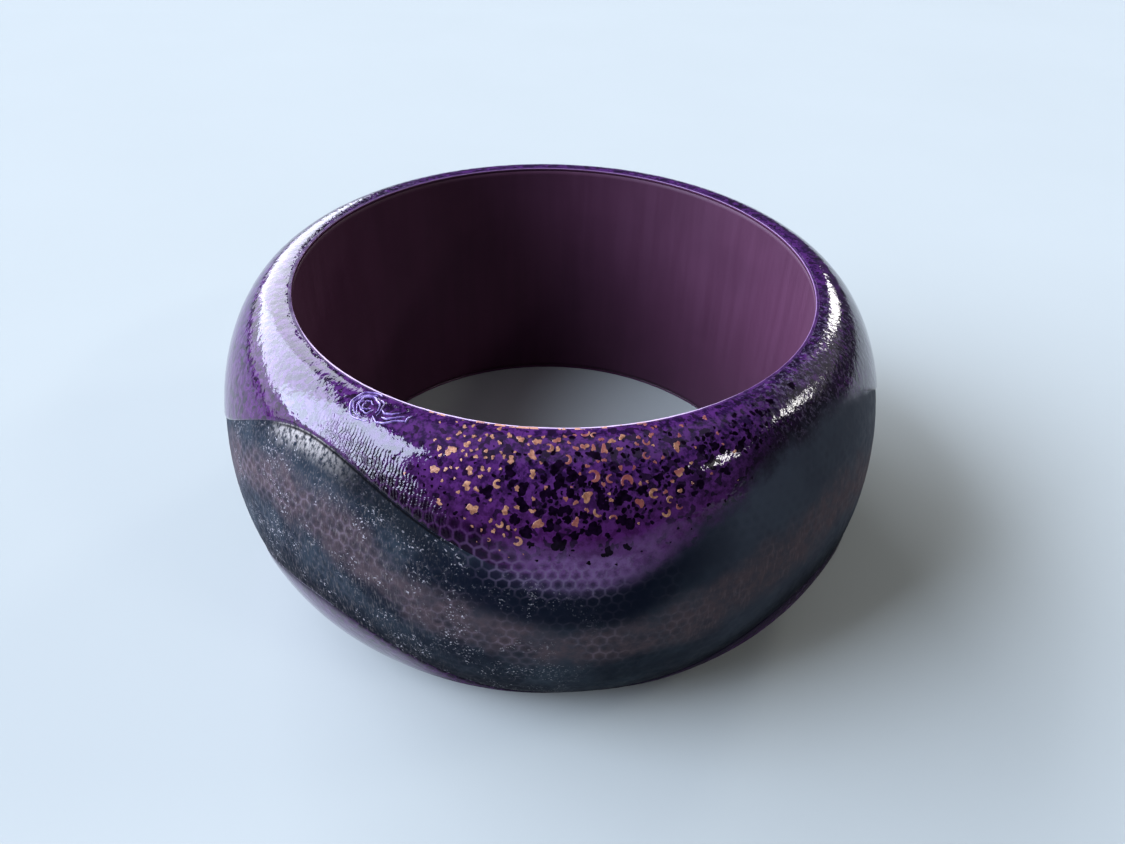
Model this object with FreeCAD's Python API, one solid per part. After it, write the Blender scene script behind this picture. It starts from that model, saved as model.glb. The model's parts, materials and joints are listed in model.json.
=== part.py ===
import FreeCAD, Part
import math
import os
import random

# A wide slip-on bangle: a turned wooden ring with a straight bore and a domed outside,
# painted and lacquered. Millimetres, origin at the middle of the base, +Z along the
# bore. Azimuth is counted from -Y towards +X, in degrees.

# The turned ring.
BORE_RADIUS = 33.0
HEIGHT = 38.0
OUTER_RADIUS = 43.95
WIDEST_HEIGHT = 17.7
LAND_WIDTH = 0.8          # flat ring at the top and at the base, next to the bore

# Coats, from the wood outwards.
LINING_THICKNESS = 0.2
GROUND_THICKNESS = 0.25
LACQUER_THICKNESS = 0.35
BAND_THICKNESS = 0.2      # thinner than the lacquer, so the lacquer ends in a step

# The pooled edge line where the outside coats meet the lining.
BEAD_WIDTH = 0.4
BEAD_HEIGHT = 0.4
BEAD_ROUNDING = 0.2

# Edges of the painted wave: (azimuth, height) at each crest and trough.
UPPER_EDGE = ((-129, 34.5), (-84, 21.0), (-38, 34.5), (6.5, 26.2),
              (51.5, 35.0), (98, 22.0), (143, 34.5), (187, 25.0))
LOWER_EDGE = ((-129, 14.0), (-84, 3.0), (-37, 14.4), (6.5, 3.0),
              (50, 14.0), (97, 3.0), (143, 14.0), (187, 3.0))
WAVE_SAMPLES = 96

SECTORS = 4               # each ring is made as this many equal arcs, joined

# Leaf flakes let into the upper lacquer: (azimuth, height) of the middle of the patch,
# its half-widths in degrees and mm, how many flakes are tried, and their smallest and
# largest radius. A flake that would touch one already there is left out.
FLAKE_DEPTH = 0.15
FLAKE_GAP = 0.25
FLAKE_CORNERS = 7
COPPER_PATCHES = (((-9, 32.5), (9, 5.0), 40, (0.35, 0.65)),
                  ((13, 34.8), (11, 2.6), 26, (0.35, 0.60)))
BLACK_PATCHES = (((7, 31.5), (14, 4.6), 190, (0.35, 0.80)),
                 ((28, 33.0), (9, 3.4), 40, (0.35, 0.65)))

# The small swirl of raised rings beside the top rim.
SWIRL_AZIMUTH = -33.5
SWIRL_HEIGHT = 37.35
SWIRL_RINGS = ((0.35, 0.70), (1.15, 1.45), (1.95, 2.25))
SWIRL_RISE = 0.12

LAND_RADIUS = BORE_RADIUS + LAND_WIDTH
CORE_DEPTH = GROUND_THICKNESS + LACQUER_THICKNESS
BEAD_LINE = BORE_RADIUS + BEAD_WIDTH


def point(radius, height):
    return FreeCAD.Vector(radius, 0, height)


def line(start, end):
    return Part.LineSegment(start, end).toShape()


def revolve(edges):
    """A ring from a closed outline in the XZ plane, in sectors so that each face stays simple."""
    face = Part.Face(Part.Wire(Part.__sortEdges__(edges)))
    centre = FreeCAD.Vector(0, 0, 0)
    axis = FreeCAD.Vector(0, 0, 1)
    sector = face.revolve(centre, axis, 360 / SECTORS)
    turned = []
    for index in range(1, SECTORS):
        copy = sector.copy()
        copy.rotate(centre, axis, 360 * index / SECTORS)
        turned.append(copy)
    return sector.fuse(turned)


def polygon(corners):
    return [line(corners[i - 1], corners[i]) for i in range(len(corners))]


def dome_arcs(depth):
    """The dome's outline at a depth under the finished surface: two quarter ellipses."""
    reach = OUTER_RADIUS - LAND_RADIUS - depth
    centre = point(LAND_RADIUS, WIDEST_HEIGHT)
    side = point(LAND_RADIUS + reach, WIDEST_HEIGHT)
    arcs = []
    for end in (point(LAND_RADIUS, HEIGHT - depth), point(LAND_RADIUS, depth)):
        ellipse = Part.Ellipse(end, side, centre)
        arcs.append(Part.ArcOfEllipse(ellipse, 0, math.pi / 2).toShape())
    return arcs


def film(inner_depth, outer_depth):
    """A skin over the whole dome between two depths, ending square at the lands."""
    ends = [line(point(LAND_RADIUS, inner_depth), point(LAND_RADIUS, outer_depth)),
            line(point(LAND_RADIUS, HEIGHT - inner_depth), point(LAND_RADIUS, HEIGHT - outer_depth))]
    return revolve(dome_arcs(inner_depth) + dome_arcs(outer_depth) + ends)


def dome_radius(height):
    """Radius of the finished surface at a height."""
    rise = HEIGHT - WIDEST_HEIGHT if height > WIDEST_HEIGHT else WIDEST_HEIGHT
    across = (height - WIDEST_HEIGHT) / rise
    return LAND_RADIUS + (OUTER_RADIUS - LAND_RADIUS) * math.sqrt(max(0.0, 1 - across * across))


def surface_frame(azimuth, height):
    """Point, outward normal, direction round and direction up on the finished surface."""
    angle = math.radians(azimuth)
    outward = FreeCAD.Vector(math.sin(angle), -math.cos(angle), 0)
    radius = dome_radius(height)
    rise = HEIGHT - WIDEST_HEIGHT if height > WIDEST_HEIGHT else WIDEST_HEIGHT
    reach = OUTER_RADIUS - LAND_RADIUS
    slope_out = (radius - LAND_RADIUS) / reach ** 2
    slope_up = (height - WIDEST_HEIGHT) / rise ** 2
    normal = outward * slope_out + FreeCAD.Vector(0, 0, slope_up)
    normal.normalize()
    around = FreeCAD.Vector(math.cos(angle), math.sin(angle), 0)
    return outward * radius + FreeCAD.Vector(0, 0, height), normal, around, normal.cross(around)


def wave_height(edge, azimuth):
    """Half-cosine steps between the crests and troughs of one edge of the wave."""
    for index, (start, low) in enumerate(edge):
        end, high = edge[(index + 1) % len(edge)]
        span = (end - start) % 360
        along = (azimuth - start) % 360
        if along < span:
            return low + (high - low) * (1 - math.cos(math.pi * along / span)) / 2
    return edge[0][1]


def wave_curve(edge, radius):
    points = []
    for index in range(WAVE_SAMPLES):
        azimuth = 360 * index / WAVE_SAMPLES
        angle = math.radians(azimuth)
        points.append(FreeCAD.Vector(radius * math.sin(angle), -radius * math.cos(angle),
                                     wave_height(edge, azimuth)))
    curve = Part.BSplineCurve()
    curve.interpolate(Points=points, PeriodicFlag=True)
    return curve.toShape()


def space_above(edge):
    """Everything over one edge of the wave, from inside the dome to well outside it."""
    ribbon = Part.makeRuledSurface(wave_curve(edge, LAND_RADIUS - 1), wave_curve(edge, OUTER_RADIUS + 3))
    return ribbon.extrude(FreeCAD.Vector(0, 0, HEIGHT))


def wood_core():
    """The turned blank, rebated at both ends of the bore for the edge lines."""
    inner = BORE_RADIUS + LINING_THICKNESS
    corners = [point(LAND_RADIUS, CORE_DEPTH), point(LAND_RADIUS, 0), point(BEAD_LINE, 0),
               point(BEAD_LINE, BEAD_HEIGHT), point(inner, BEAD_HEIGHT),
               point(inner, HEIGHT - BEAD_HEIGHT), point(BEAD_LINE, HEIGHT - BEAD_HEIGHT),
               point(BEAD_LINE, HEIGHT), point(LAND_RADIUS, HEIGHT),
               point(LAND_RADIUS, HEIGHT - CORE_DEPTH)]
    sides = [line(corners[i], corners[i + 1]) for i in range(len(corners) - 1)]
    return revolve(dome_arcs(CORE_DEPTH) + sides)


def bore_lining():
    """The plum paint on the wall of the bore."""
    inner = BORE_RADIUS
    outer = BORE_RADIUS + LINING_THICKNESS
    return revolve(polygon([point(inner, BEAD_HEIGHT), point(outer, BEAD_HEIGHT),
                            point(outer, HEIGHT - BEAD_HEIGHT), point(inner, HEIGHT - BEAD_HEIGHT)]))


def rim_bead(face, inwards):
    """An edge line at one end of the bore, rounded at its open corner."""
    back = face + inwards * BEAD_HEIGHT
    turn = face + inwards * BEAD_ROUNDING
    middle = point(BORE_RADIUS + BEAD_ROUNDING, turn)
    corner = point(BORE_RADIUS + BEAD_ROUNDING, face)
    side = point(BORE_RADIUS, turn)
    half = BEAD_ROUNDING / math.sqrt(2)
    bend = Part.Arc(corner, middle + FreeCAD.Vector(-half, 0, -inwards * half), side).toShape()
    run = [side, point(BORE_RADIUS, back), point(BEAD_LINE, back), point(BEAD_LINE, face), corner]
    return revolve([bend] + [line(run[i], run[i + 1]) for i in range(len(run) - 1)])


def flake_blank(azimuth, height, radius, dice):
    """An irregular many-sided peg square to the surface, from which a flake is cut."""
    centre, normal, around, up = surface_frame(azimuth, height)
    start = dice.uniform(0, 2 * math.pi)
    stretch = dice.uniform(1.0, 1.6)
    corners = []
    for index in range(FLAKE_CORNERS):
        turn = start + 2 * math.pi * index / FLAKE_CORNERS
        reach = radius * dice.uniform(0.75, 1.25)
        offset = around * (reach * math.cos(turn)) + up * (reach / stretch * math.sin(turn))
        corners.append(centre + offset - normal * FLAKE_DEPTH * 4)
    face = Part.Face(Part.makePolygon(corners + corners[:1]))
    return face.extrude(normal * FLAKE_DEPTH * 8)


def scattered(patches, taken, dice):
    """Pegs spread at random over the patches, clear of each other and of those taken."""
    pegs = []
    for (azimuth, height), (wide, tall), tries, (smallest, largest) in patches:
        for _ in range(tries):
            at = (azimuth + wide * dice.uniform(-1, 1), height + tall * dice.uniform(-1, 1))
            radius = dice.uniform(smallest, largest)
            centre = surface_frame(*at)[0]
            clear = all((centre - other).Length > 1.2 * (radius + size) + FLAKE_GAP for other, size in taken)
            inside = wave_height(UPPER_EDGE, at[0]) + 1.6 < at[1] < HEIGHT - 0.5
            if clear and inside:
                pegs.append(flake_blank(at[0], at[1], radius, dice))
                taken.append((centre, radius))
    return Part.makeCompound(pegs)


def swirl():
    """Concentric raised rings on the shoulder, cut off where they reach the land."""
    centre, normal = surface_frame(SWIRL_AZIMUTH, SWIRL_HEIGHT)[:2]
    skin = film(0, -SWIRL_RISE).common(Part.makeCylinder(OUTER_RADIUS + 1, HEIGHT))
    base = centre - normal * 2
    rings = []
    for inner, outer in SWIRL_RINGS:
        ring = Part.makeCylinder(outer, 4, base, normal).cut(Part.makeCylinder(inner, 4, base, normal))
        rings.extend(ring.common(skin).Solids)
    return Part.makeCompound(rings)


def solids_of(shape):
    """The shape as one solid, or as a compound of its separate solids."""
    solids = shape.Solids
    return solids[0] if len(solids) == 1 else Part.makeCompound(solids)


def bangle():
    """Every piece of the bangle, by name."""
    dice = random.Random(11)
    above_band = space_above(UPPER_EDGE)
    above_lower = space_above(LOWER_EDGE)
    lacquer = film(LACQUER_THICKNESS, 0)
    band = film(LACQUER_THICKNESS, LACQUER_THICKNESS - BAND_THICKNESS)
    surface_skin = film(FLAKE_DEPTH, 0)
    taken = []
    copper = surface_skin.common(scattered(COPPER_PATCHES, taken, dice))
    black = surface_skin.common(scattered(BLACK_PATCHES, taken, dice))
    return {
        "wood_core": wood_core(),
        "bore_lining": bore_lining(),
        "ground_coat": film(CORE_DEPTH, LACQUER_THICKNESS),
        "wave_band": band.common(above_lower).cut(above_band),
        "upper_lacquer": lacquer.common(above_band).cut(copper).cut(black),
        "lower_lacquer": lacquer.cut(above_lower),
        "copper_flakes": copper,
        "black_flakes": black,
        "swirl_relief": swirl(),
        "top_rim_bead": rim_bead(HEIGHT, -1),
        "bottom_rim_bead": rim_bead(0, 1),
    }


os.makedirs("parts", exist_ok=True)
for name, shape in bangle().items():
    piece = solids_of(shape)
    piece.exportStep("parts/" + name + ".step")
    box = piece.optimalBoundingBox(False, False)
    print(name, len(piece.Solids), "solids, valid", piece.isValid(), "volume", round(piece.Volume, 1),
          "z", round(box.ZMin, 2), round(box.ZMax, 2), "x", round(box.XMin, 2), round(box.XMax, 2))
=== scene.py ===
import json
import math
import random

import bpy
import numpy as np
from mathutils import Matrix, Vector


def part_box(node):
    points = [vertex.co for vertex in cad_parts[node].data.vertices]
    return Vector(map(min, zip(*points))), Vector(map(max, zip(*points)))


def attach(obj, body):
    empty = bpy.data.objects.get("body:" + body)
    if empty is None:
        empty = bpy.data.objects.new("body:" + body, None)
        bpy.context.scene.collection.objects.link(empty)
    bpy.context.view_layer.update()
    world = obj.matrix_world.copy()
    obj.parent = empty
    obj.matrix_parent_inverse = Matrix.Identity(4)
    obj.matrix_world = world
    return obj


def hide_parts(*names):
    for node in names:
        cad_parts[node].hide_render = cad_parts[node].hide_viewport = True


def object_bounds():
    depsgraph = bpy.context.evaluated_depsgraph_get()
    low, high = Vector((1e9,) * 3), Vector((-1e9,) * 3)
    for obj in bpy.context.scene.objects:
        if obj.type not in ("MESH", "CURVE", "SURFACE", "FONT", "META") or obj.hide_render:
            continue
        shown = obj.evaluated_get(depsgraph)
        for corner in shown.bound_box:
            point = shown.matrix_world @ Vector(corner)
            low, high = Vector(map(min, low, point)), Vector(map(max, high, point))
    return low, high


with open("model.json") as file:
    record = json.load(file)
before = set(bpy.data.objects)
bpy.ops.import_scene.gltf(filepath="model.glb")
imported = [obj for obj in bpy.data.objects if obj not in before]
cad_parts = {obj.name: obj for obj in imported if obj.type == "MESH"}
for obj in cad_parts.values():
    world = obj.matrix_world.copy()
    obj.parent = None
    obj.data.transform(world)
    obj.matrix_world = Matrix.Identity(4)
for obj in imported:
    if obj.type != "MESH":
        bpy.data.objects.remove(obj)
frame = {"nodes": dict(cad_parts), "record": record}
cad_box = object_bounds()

# A wide lacquered bangle: a slate ribbon painted through a net between two glossy purple
# fields, with copper and black leaf in the front of the upper field. Everything here is
# worked out in millimetres and written in metres. Azimuth is counted from -Y towards +X,
# in degrees. "Down" is the distance in millimetres along the dome from the top land.
MM = 0.001

# ---- sizes from the frame
MOUNTS = {mount["name"]: mount for mount in frame["record"]["mounts"]}
BORE_RADIUS = MOUNTS["wrist_opening"]["dims"]["r_mm"]
HEIGHT = cad_box[1][2] / MM
BEAD_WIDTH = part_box("top_rim_bead")[1][0] / MM - BORE_RADIUS
BEAD_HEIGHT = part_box("bottom_rim_bead")[1][2] / MM
BAND_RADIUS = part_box("wave_band")[1][0] / MM
BAND_DEPTH = 0.15  # the ribbon lies this much below the lacquer
OUTER_RADIUS = BAND_RADIUS + BAND_DEPTH
WIDEST_SHARE = 0.4658  # the dome is widest at this share of its height
WIDEST_HEIGHT = WIDEST_SHARE * HEIGHT
LAND_WIDTH = 0.8  # flat land from the bore to where the dome starts
LAND_RADIUS = BORE_RADIUS + LAND_WIDTH
LAND_START = BORE_RADIUS + BEAD_WIDTH - LAND_RADIUS  # "down" at the outer edge of the bead

# ---- decoration, as on the CAD
UPPER_EDGE = ((-129, 34.5), (-84, 21.0), (-38, 34.5), (6.5, 26.2),
              (51.5, 35.0), (98, 22.0), (143, 34.5), (187, 25.0))
LOWER_EDGE = ((-129, 14.0), (-84, 3.0), (-37, 14.4), (6.5, 3.0),
              (50, 14.0), (97, 3.0), (143, 14.0), (187, 3.0))
STRIPE_MIDDLE = ((-130, 26.0), (-86, 13.0), (-42, 27.3), (4, 17.2),
                 (50, 23.6), (97, 13.0), (143, 24.0), (187, 14.5))
NET_CELLS_ROUND = 200
NET_ROW = 1.17  # distance down from one row of cells to the next
# waves that pull the net out of true: waves round, radians per mm down, phase and size
NET_ACROSS = ((9, 0.35, 0.0, 0.22), (23, -0.6, 1.3, 0.12))  # size in cells
NET_ALONG = ((7, 0.25, 2.0, 0.25), (19, 0.5, 0.0, 0.12))  # size in rows
ROOT_3 = math.sqrt(3)


def half_cosine(knots, azimuth):
    """Half-cosine steps through (azimuth, value) knots that go once round the ring."""
    azimuth = np.asarray(azimuth, float)
    value = np.zeros_like(azimuth)
    for index, (start, low) in enumerate(knots):
        end, high = knots[(index + 1) % len(knots)]
        span = (end - start) % 360
        along = (azimuth - start) % 360
        inside = along < span
        step = low + (high - low) * (1 - np.cos(np.pi * along / span)) / 2
        value = np.where(inside, step, value)
    return value


# ---- the dome
def make_profile():
    """Radius, height, outward normal and distance down, from the top land to the base."""
    turn = np.linspace(0, np.pi, 4000)
    rise = np.where(turn < np.pi / 2, HEIGHT - WIDEST_HEIGHT, WIDEST_HEIGHT)
    radius = LAND_RADIUS + (OUTER_RADIUS - LAND_RADIUS) * np.sin(turn)
    height = WIDEST_HEIGHT + rise * np.cos(turn)
    out = np.sin(turn) / (OUTER_RADIUS - LAND_RADIUS)
    up = np.cos(turn) / rise
    size = np.hypot(out, up)
    down = np.concatenate([[0], np.cumsum(np.hypot(np.diff(radius), np.diff(height)))])
    return down, radius, height, out / size, up / size


PROFILE = make_profile()
DOME_LENGTH = PROFILE[0][-1]


def down_at(height):
    return np.interp(-np.asarray(height, float), -PROFILE[2], PROFILE[0])


def on_dome(azimuth, down, lift=0.0):
    """Points in millimetres at a lift off the dome; past its ends they run over the lands."""
    over = np.minimum(down, 0) + np.minimum(DOME_LENGTH - down, 0)
    radius, height, out, up = (np.interp(down, PROFILE[0], column) for column in PROFILE[1:])
    angle = np.radians(azimuth)
    reach = radius + over + lift * out
    return np.stack([reach * np.sin(angle), -reach * np.cos(angle), height + lift * up], -1)


def upper_down(azimuth):
    return down_at(half_cosine(UPPER_EDGE, azimuth))


def lower_down(azimuth):
    return down_at(half_cosine(LOWER_EDGE, azimuth))


def stripe_down(azimuth):
    return down_at(half_cosine(STRIPE_MIDDLE, azimuth))


# ---- smooth noise for relief
def smooth(low, high, value):
    share = np.clip((value - low) / (high - low), 0, 1)
    return share * share * (3 - 2 * share)


def value_noise(points, size, seed):
    """Smooth noise between -1 and 1 in space, with features of about this size in mm."""
    table = np.random.default_rng(seed).uniform(-1, 1, (32, 32, 32))
    scaled = points / size
    base = np.floor(scaled).astype(int)
    part = scaled - base
    part = part * part * (3 - 2 * part)
    total = np.zeros(points.shape[:-1])
    for corner in range(8):
        step = np.array([(corner >> axis) & 1 for axis in range(3)])
        weight = np.prod(np.where(step, part, 1 - part), -1)
        index = (base + step) % 32
        total += weight * table[index[..., 0], index[..., 1], index[..., 2]]
    return total


def net_sway(azimuth, down, waves):
    """How far these waves pull the net."""
    turn = np.radians(azimuth)
    return sum(size * np.sin(around * turn + per_mm * down + phase)
               for around, per_mm, phase, size in waves)


def net_wall(azimuth, down):
    """1 on the threads of the net and 0 in the middle of its cells."""
    x = np.asarray(azimuth) / 360 * NET_CELLS_ROUND + net_sway(azimuth, down, NET_ACROSS)
    y = (down / NET_ROW + net_sway(azimuth, down, NET_ALONG)) * ROOT_3 / 2
    reach = []
    for shift in (0.0, 0.5):
        dx = np.mod(x - shift, 1) - 0.5
        dy = np.mod(y - shift * ROOT_3, ROOT_3) - ROOT_3 / 2
        reach.append(np.maximum(np.abs(dx), np.abs(dx) / 2 + np.abs(dy) * ROOT_3 / 2))
    return smooth(0.34, 0.48, np.minimum(*reach))


# ---- meshes
def new_object(name, vertices, faces, attributes=None, flat=False):
    mesh = bpy.data.meshes.new(name)
    mesh.from_pydata(np.asarray(vertices) * MM, [], faces)
    mesh.validate()
    mesh.polygons.foreach_set("use_smooth", [not flat] * len(mesh.polygons))
    for key, values in (attributes or {}).items():
        layer = mesh.attributes.new(key, "FLOAT", "POINT")
        layer.data.foreach_set("value", values.ravel().astype(np.float32))
    piece = bpy.data.objects.new(name, mesh)
    bpy.context.scene.collection.objects.link(piece)
    return piece


def ring_faces(rows, columns):
    """Quads of a grid that is closed both round the ring and from its last row to its first."""
    here = np.arange(rows * columns).reshape(rows, columns)
    beside, below = np.roll(here, -1, 1), np.roll(here, -1, 0)
    quads = np.stack([here, beside, np.roll(below, -1, 1), below], -1)
    return quads.reshape(-1, 4).tolist()


END_ROW = 0.0015  # share of a coat's length from its end to the next row
UNDER_ROWS = 12  # rows of the hidden side of a coat


def coat(name, start, end, columns, rows, lift, under):
    """A closed skin from start to end down the dome, fine outside and coarse underneath."""
    azimuth = 180 - 360 * np.arange(columns) / columns  # backwards, for faces that look outward
    outer = np.concatenate([[0, END_ROW], np.linspace(0, 1, rows - 2)[1:-1], [1 - END_ROW, 1]])
    share = np.concatenate([outer, np.linspace(1, 0, UNDER_ROWS)])
    az, share = np.meshgrid(azimuth, share)
    down = start(az) * (1 - share) + end(az) * share
    outside = (np.arange(rows + UNDER_ROWS) < rows)[:, None]
    raised = np.where(outside, lift(az, down), under(az, down))
    points = on_dome(az, down, raised)
    attributes = {
        "down": down,
        "past_upper": down - upper_down(az),
        "past_lower": down - lower_down(az),
        "past_stripe": down - stripe_down(az),
    }
    return new_object(name, points.reshape(-1, 3), ring_faces(rows + UNDER_ROWS, columns), attributes)


LACQUER_LIFT = 0.03  # covers the bare lands of the turned ring
LAND_LIFT = 0.008  # and runs down to this beside the bead
SKIN = 0.3  # thickness of a lacquered field
RIBBON_SKIN = 0.15
RIBBON_SINK = 0.02  # how far the ribbon's paint lies under the band's radius
FADE_LENGTH = 5.0  # where the edge is soft, the lacquer thins out over this
OVERLAP = 0.6  # the ribbon runs on under the edges of the lacquer
CROSSING = 0.012  # and each dips by this under the other at a soft edge
UPPER_ROUNDING = 0.45  # length of the rounded end of the upper field
LOWER_ROUNDING = 2.0
PAINT_RISE = 1.6  # the ribbon's paint runs this far up over the lacquer
PAINT_RISE_SPAN = (15, 38, 9)  # between these azimuths, with ends this soft


def half_turn(azimuth):
    """Azimuth from -90 to 90: the decoration comes twice round the ring."""
    return np.mod(np.asarray(azimuth) + 90, 180) - 90


def softness(azimuth):
    """0 where the upper field ends in a crisp step and 1 where it fades into the ribbon."""
    local = half_turn(azimuth)
    return smooth(-10, 1, local) * (1 - smooth(58, 74, local))


def paint_edge(azimuth):
    """Where the ribbon's paint starts, on the soft edges too."""
    first, last, soft = PAINT_RISE_SPAN
    local = half_turn(azimuth)
    share = smooth(first - soft, first + soft, local) * (1 - smooth(last - soft, last + soft, local))
    return upper_down(azimuth) - PAINT_RISE * share


def lacquer_relief(azimuth, down, past_edge, rounding, soft):
    """Lift of a lacquered field, which ends where past_edge is 0: undulation, net and its end."""
    points = on_dome(azimuth, down)
    wave = 0.018 * value_noise(points, 6.0, 1) + 0.013 * value_noise(points, 1.6, 2)
    wave = wave + 0.007 * value_noise(points, 0.8, 8)
    net = 0.01 * (net_wall(azimuth, down) - 0.5) * smooth(-9, -1, past_edge)
    reach = np.clip((past_edge + rounding) / rounding, 0, 1)
    step = (LACQUER_LIFT + BAND_DEPTH) * (1 - np.sqrt(1 - reach ** 2))
    fade = (LACQUER_LIFT + BAND_DEPTH + RIBBON_SINK) * smooth(-FADE_LENGTH, -OVERLAP, past_edge)
    fade = fade + CROSSING * np.clip(past_edge / OVERLAP + 1, 0, 1)
    calm = 1 - soft * smooth(-3, 0, past_edge)
    return LACQUER_LIFT + (wave + net) * calm - step * (1 - soft) - fade * soft


def upper_lift(azimuth, down):
    past_edge = down - upper_down(azimuth)
    lift = lacquer_relief(azimuth, down, past_edge, UPPER_ROUNDING, softness(azimuth))
    rest = LAND_LIFT + (LACQUER_LIFT - LAND_LIFT) * smooth(LAND_START, 0.2, down)
    return np.where(down < 0.3, np.minimum(lift, rest), lift)


def lower_lift(azimuth, down):
    lift = lacquer_relief(azimuth, down, lower_down(azimuth) - down, LOWER_ROUNDING, 0.0)
    rest = LACQUER_LIFT * smooth(0.2, 3.0, DOME_LENGTH - down)
    return np.minimum(lift, rest)


def under_lift(azimuth, down):
    """The hidden side: inside the coats, but just above the lands at both ends."""
    edge = np.minimum(down, DOME_LENGTH - down)
    return -SKIN * smooth(0.0, 1.2, edge) + 0.005


def ribbon_lift(azimuth, down):
    points = on_dome(azimuth, down)
    past_edge = down - upper_down(azimuth)
    net = 0.012 * net_wall(azimuth, down)
    grain = 0.01 * value_noise(points, 0.7, 3) + 0.012 * value_noise(points, 3.0, 4)
    soft = softness(azimuth)
    calm = 1 - soft * (1 - smooth(0, 2.5, past_edge))
    dip = CROSSING * soft * np.clip(-past_edge / OVERLAP, 0, 1)
    return -BAND_DEPTH - RIBBON_SINK + (net + grain) * calm - dip


def make_upper_field():
    start = lambda az: np.full_like(az, LAND_START)
    return coat("upper_field", start, upper_down, 1440, 56, upper_lift, under_lift)


def make_lower_field():
    end = lambda az: np.full_like(az, DOME_LENGTH - LAND_START)
    return coat("lower_field", lower_down, end, 1200, 40, lower_lift, under_lift)


def make_ribbon():
    start = lambda az: upper_down(az) - OVERLAP
    end = lambda az: lower_down(az) + OVERLAP
    under = lambda az, down: np.full_like(down, -BAND_DEPTH - RIBBON_SKIN)
    return coat("ribbon", start, end, 1250, 66, ribbon_lift, under)


RING_COLUMNS = 1400
BORE_COAT_DEPTH = 0.19


def revolved(name, outline, wobble):
    """A closed ring from an outline of (radius, height) corners, moved a little by wobble."""
    outline = np.asarray(outline, float)
    azimuth = np.radians(-180 + 360 * np.arange(RING_COLUMNS) / RING_COLUMNS)
    radius = outline[:, :1] + np.zeros(RING_COLUMNS)
    height = outline[:, 1:] + np.zeros(RING_COLUMNS)
    radius, height = wobble(np.degrees(azimuth)[None, :], radius, height)
    points = np.stack([radius * np.sin(azimuth), -radius * np.cos(azimuth), height], -1)
    return new_object(name, points.reshape(-1, 3), ring_faces(len(outline), RING_COLUMNS))


def make_bore_coat():
    """Satin paint on the bore, with the faint vertical ridges a brush leaves."""
    low, high = BEAD_HEIGHT, HEIGHT - BEAD_HEIGHT
    inside = [(BORE_RADIUS, z) for z in np.linspace(high, low, 60)]
    behind = [(BORE_RADIUS + BORE_COAT_DEPTH, z) for z in np.linspace(low, high, 6)]
    inner_rows = len(inside)

    def ridges(azimuth, radius, height):
        points = np.stack(np.broadcast_arrays(azimuth * 0.9, 0 * azimuth + 5.0, height / 14), -1)
        depth = 0.0015 * value_noise(points, 1.0, 5) + 0.002 * value_noise(points, 2.7, 6)
        front = (np.arange(len(radius)) < inner_rows)[:, None]
        ends = smooth(0, 1.5, np.minimum(height - low, high - height))
        return radius + np.where(front, np.maximum(depth * ends, 0), 0), height

    return revolved("bore_coat", inside + behind, ridges)


def bead_outline(face, inwards):
    """The edge line: rounded where it shows, square where it sits in its rebate."""
    rounding = 0.1
    back = face + inwards * BEAD_HEIGHT
    outer = BORE_RADIUS + BEAD_WIDTH
    centre = (BORE_RADIUS + rounding, face + inwards * rounding)
    corners = [(outer, back), (outer, face), (outer - 0.01, face)]
    corners += [(centre[0] - rounding * math.sin(t), centre[1] - inwards * rounding * math.cos(t))
                for t in np.linspace(0, math.pi / 2, 9)]
    corners.append((BORE_RADIUS, back))
    return corners if inwards < 0 else corners[::-1]


def make_bead(name, face, inwards):
    def pooled(azimuth, radius, height):
        points = np.stack(np.broadcast_arrays(azimuth * 0.6, 0 * azimuth, radius), -1)
        swell = 0.035 * value_noise(points, 1.2, 7)
        share = (BORE_RADIUS + BEAD_WIDTH - radius) / BEAD_WIDTH
        rise = np.maximum(swell, -0.02) * share + LAND_LIFT
        return radius, height - inwards * np.where(np.abs(height - face) < 0.2, rise, 0)
    return revolved(name, bead_outline(face, inwards), pooled)


# ---- leaf flakes
def islands(node):
    """The separate chips of a CAD node, each as (azimuth, down, radius)."""
    mesh = frame["nodes"][node].data
    points = np.array([vertex.co for vertex in mesh.vertices]) / MM
    spot = np.unique(points.round(4), axis=0, return_inverse=True)[1].ravel()
    pairs = spot[np.array([edge.vertices for edge in mesh.edges])]
    label = np.arange(len(points))
    before = None
    while not np.array_equal(label, before):
        before = label.copy()
        np.minimum.at(label, pairs, label[pairs].min(1, keepdims=True))
    chips = []
    for chip in np.unique(label[spot]):
        group = points[label[spot] == chip]
        low, high = group.min(0), group.max(0)
        x, y, z = (low + high) / 2
        size = float(np.linalg.norm(high - low)) / 2
        chips.append((math.degrees(math.atan2(x, -y)), float(down_at(z)), size))
    return sorted(chips)


CHIP_DEPTH = 0.09  # how far a chip is let into the lacquer
ANY_TURN = (0, 6.28)  # range of a random angle


def blob_outline(radius, dice, corners, ragged):
    """An irregular closed outline round the origin."""
    turn = 2 * np.pi * np.arange(corners) / corners
    reach = np.ones(corners)
    for count, size in ((2, 0.28), (3, 0.22 * ragged), (5, 0.15 * ragged), (7, 0.08 * ragged)):
        reach += size * dice.uniform(0.5, 1.3) * np.sin(count * turn + dice.uniform(*ANY_TURN))
    return radius * np.stack([reach * np.cos(turn), reach * np.sin(turn)], -1)


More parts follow.
